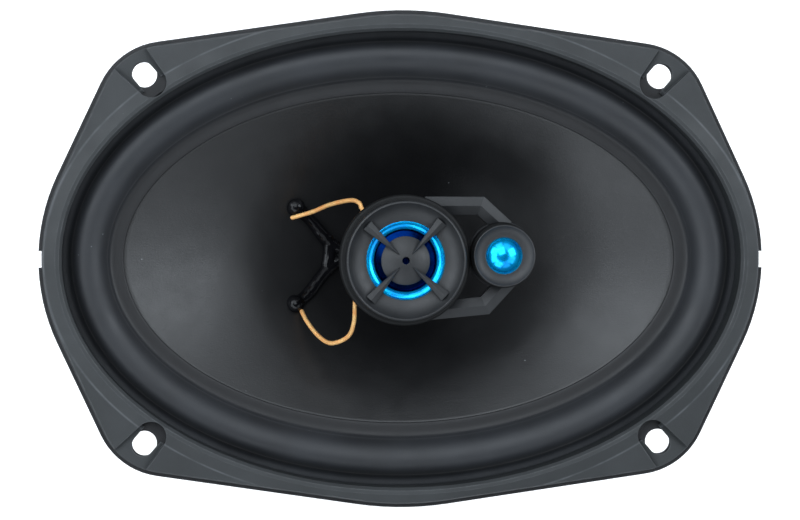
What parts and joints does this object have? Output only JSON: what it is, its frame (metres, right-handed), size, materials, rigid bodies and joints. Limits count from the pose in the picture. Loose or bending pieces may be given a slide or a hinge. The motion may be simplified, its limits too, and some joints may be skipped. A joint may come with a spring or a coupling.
{
  "type": "coaxial car speaker",
  "caption": "Oval coaxial car loudspeaker: pressed steel basket, rubber-edged paper cone and a raised pod with a dome tweeter and a small side tweeter.",
  "frame": {"origin": "centre of the flange's back face, which seats on the panel", "axes": "+Z is the way the speaker fires, +X the oval's long axis towards the small tweeter, +Y its short axis"},
  "size_m": [0.2382, 0.1634, 0.1026],
  "materials": {
    "blue_chrome": "blue metallised mirror",
    "blue_film": "dark blue metallised film",
    "brass": "tin-dulled brass",
    "capacitor_sleeve": "dark blue shrink sleeve",
    "ceramic": "fired ceramic",
    "cone_paper": "black pressed paper with a soft sheen",
    "copper_braid": "bare braided copper",
    "copper_wire": "enamelled copper wire",
    "ferrite": "dark grey sintered ferrite",
    "fibre_board": "black vulcanised fibre",
    "former_film": "amber polyimide film",
    "glue": "glossy black rubber adhesive",
    "neodymium": "nickel plate",
    "painted_steel": "satin black stove enamel",
    "pod_plastic": "satin black moulded plastic",
    "pod_shell": "matt black moulded plastic of the tweeters' cups and post",
    "spider_cloth": "amber resin-treated cotton",
    "surround_rubber": "matt black butyl rubber",
    "trim_plastic": "fine textured black plastic",
    "zinc_steel": "bright zinc plate"
  },
  "bodies": {
    "frame": {"basket": "painted_steel", "trim_ring": "trim_plastic", "surround": "surround_rubber", "spider": "spider_cloth", "front_lead_upper": "copper_braid", "front_lead_lower": "copper_braid", "rear_lead_upper": "copper_braid", "rear_lead_lower": "copper_braid", "top_plate": "zinc_steel", "magnet": "ferrite", "back_yoke": "zinc_steel", "basket_rivets": "zinc_steel", "tweeter_post": "pod_shell", "post_washer": "zinc_steel", "post_bolt": "zinc_steel", "tweeter_bridge": "pod_plastic", "bridge_screws": "zinc_steel", "tweeter_housing": "pod_shell", "tweeter_yoke": "zinc_steel", "tweeter_magnet": "neodymium", "tweeter_pole_plate": "zinc_steel", "tweeter_spacer_ring": "pod_plastic", "tweeter_bezel": "pod_plastic", "tweeter_blue_ring": "blue_chrome", "tweeter_solder_tags": "brass", "tweeter_capacitor": "capacitor_sleeve", "super_tweeter_housing": "pod_shell", "super_tweeter_bezel": "pod_plastic", "piezo_mount_ring": "pod_plastic", "terminal_board": "fibre_board", "terminal_positive": "brass", "terminal_negative": "brass", "terminal_rivets": "zinc_steel"},
    "cone_assembly": {"cone": "cone_paper", "voice_coil_former": "former_film", "voice_coil_winding": "copper_wire", "lead_eyelets": "brass", "lead_glue": "glue"},
    "tweeter_dome": {"tweeter_diaphragm": "blue_film", "tweeter_voice_coil": "copper_wire"},
    "super_tweeter": {"super_tweeter_dome": "blue_chrome", "piezo_disc": "brass", "piezo_ceramic": "ceramic"}
  },
  "joints": [
    {"name": "cone_stroke", "type": "slide", "parent": "frame", "child": "cone_assembly", "axis": [0, 0, 1], "range_m": [-0.005, 0.005], "stiffness_N_per_m": 1800, "deforming": ["surround", "spider", "front_lead_upper", "front_lead_lower", "rear_lead_upper", "rear_lead_lower"]},
    {"name": "tweeter_stroke", "type": "slide", "parent": "frame", "child": "tweeter_dome", "axis": [0, 0, 1], "range_m": [-0.0003, 0.0003], "stiffness_N_per_m": 2500},
    {"name": "super_tweeter_stroke", "type": "slide", "parent": "frame", "child": "super_tweeter", "axis": [0, 0, 1], "range_m": [-0.00005, 0.00005], "stiffness_N_per_m": 5000}
  ]
}
